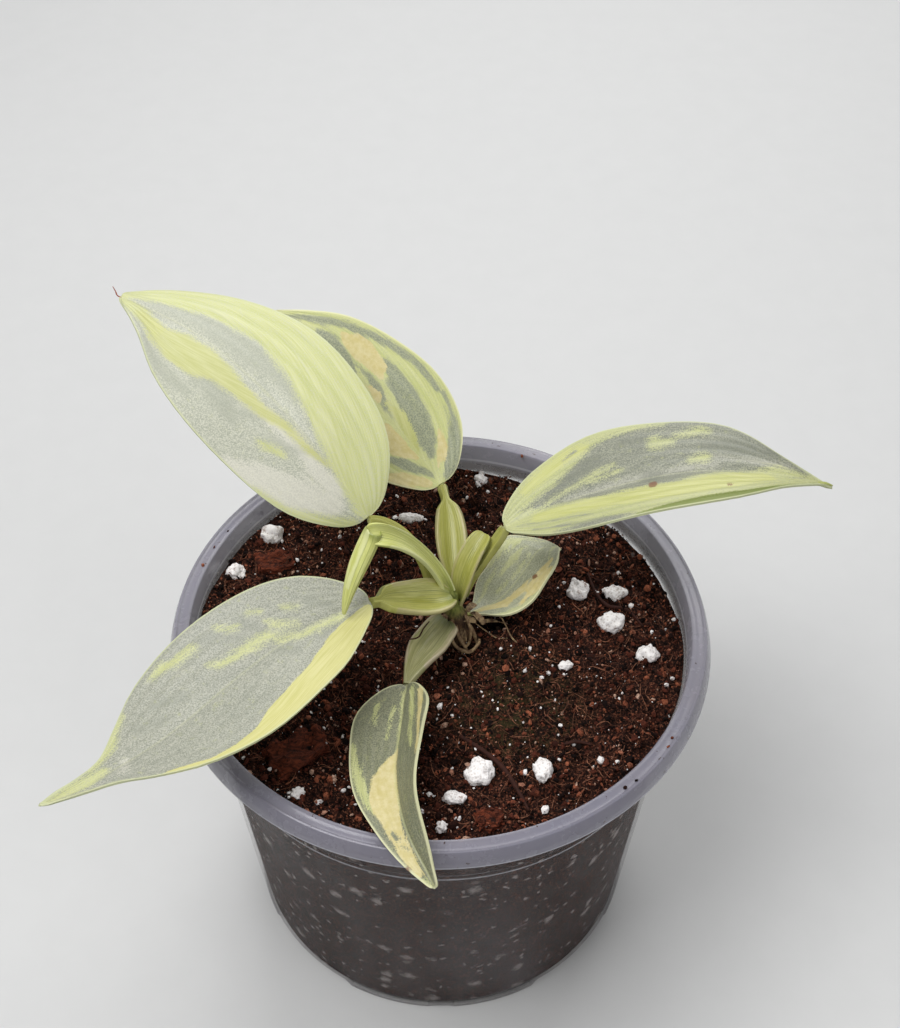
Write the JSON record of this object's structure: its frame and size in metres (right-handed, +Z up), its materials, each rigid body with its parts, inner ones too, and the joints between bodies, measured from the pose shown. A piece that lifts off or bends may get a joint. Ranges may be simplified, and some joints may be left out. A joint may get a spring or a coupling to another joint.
{
  "type": "potted variegated philodendron",
  "caption": "Young trailing aroid with silver-green and lime marbled leaves, rooted in peat and perlite mix in a round clear nursery pot.",
  "frame": {"origin": "middle of the pot's underside, on the surface that it stands on", "axes": "+Z up along the pot's axis, -Y towards the viewer of the picture, +X to the right"},
  "size_m": [0.16, 0.1272, 0.1457],
  "materials": {
    "pot_plastic": "clear moulded plastic, smooth, milky at the rim",
    "soil": "damp crumbly peat and bark mix",
    "perlite": "rough white foamed grain",
    "bark": "rough reddish bark",
    "twig": "dry bark",
    "root": "matt, fibrous",
    "stem": "matt green-brown skin",
    "sheath": "smooth satin",
    "new_growth": "smooth satin",
    "silver_leaf": "satin with a fine silvery sheen, lime streaks",
    "blotched_leaf": "satin, cream and lime blotches on grey-green"
  },
  "bodies": {
    "root": {"aerial_root_1": "root", "aerial_root_2": "root", "aerial_root_3": "root", "bark_chip_1": "bark", "bark_chip_2": "bark", "bark_chip_3": "bark", "bark_chip_4": "bark", "buried_root_1": "root", "buried_root_2": "root", "buried_root_3": "root", "buried_root_4": "root", "buried_root_5": "root", "buried_root_6": "root", "leaf_back": "blotched_leaf", "leaf_front": "blotched_leaf", "leaf_lower_left": "silver_leaf", "leaf_right": "silver_leaf", "leaf_small_right": "blotched_leaf", "leaf_upper_left": "silver_leaf", "new_leaf_blade": "new_growth", "new_leaf_petiole": "new_growth", "perlite_01": "perlite", "perlite_02": "perlite", "perlite_03": "perlite", "perlite_04": "perlite", "perlite_05": "perlite", "perlite_06": "perlite", "perlite_07": "perlite", "perlite_08": "perlite", "perlite_09": "perlite", "perlite_10": "perlite", "perlite_11": "perlite", "perlite_12": "perlite", "perlite_13": "perlite", "perlite_14": "perlite", "petiole_back": "sheath", "petiole_front": "sheath", "petiole_lower_left": "sheath", "petiole_right": "sheath", "petiole_small_right": "sheath", "petiole_upper_left": "sheath", "pot": "pot_plastic", "soil": "soil", "stem": "stem", "twig_1": "twig", "twig_2": "twig", "twig_3": "twig"}
  },
  "joints": []
}
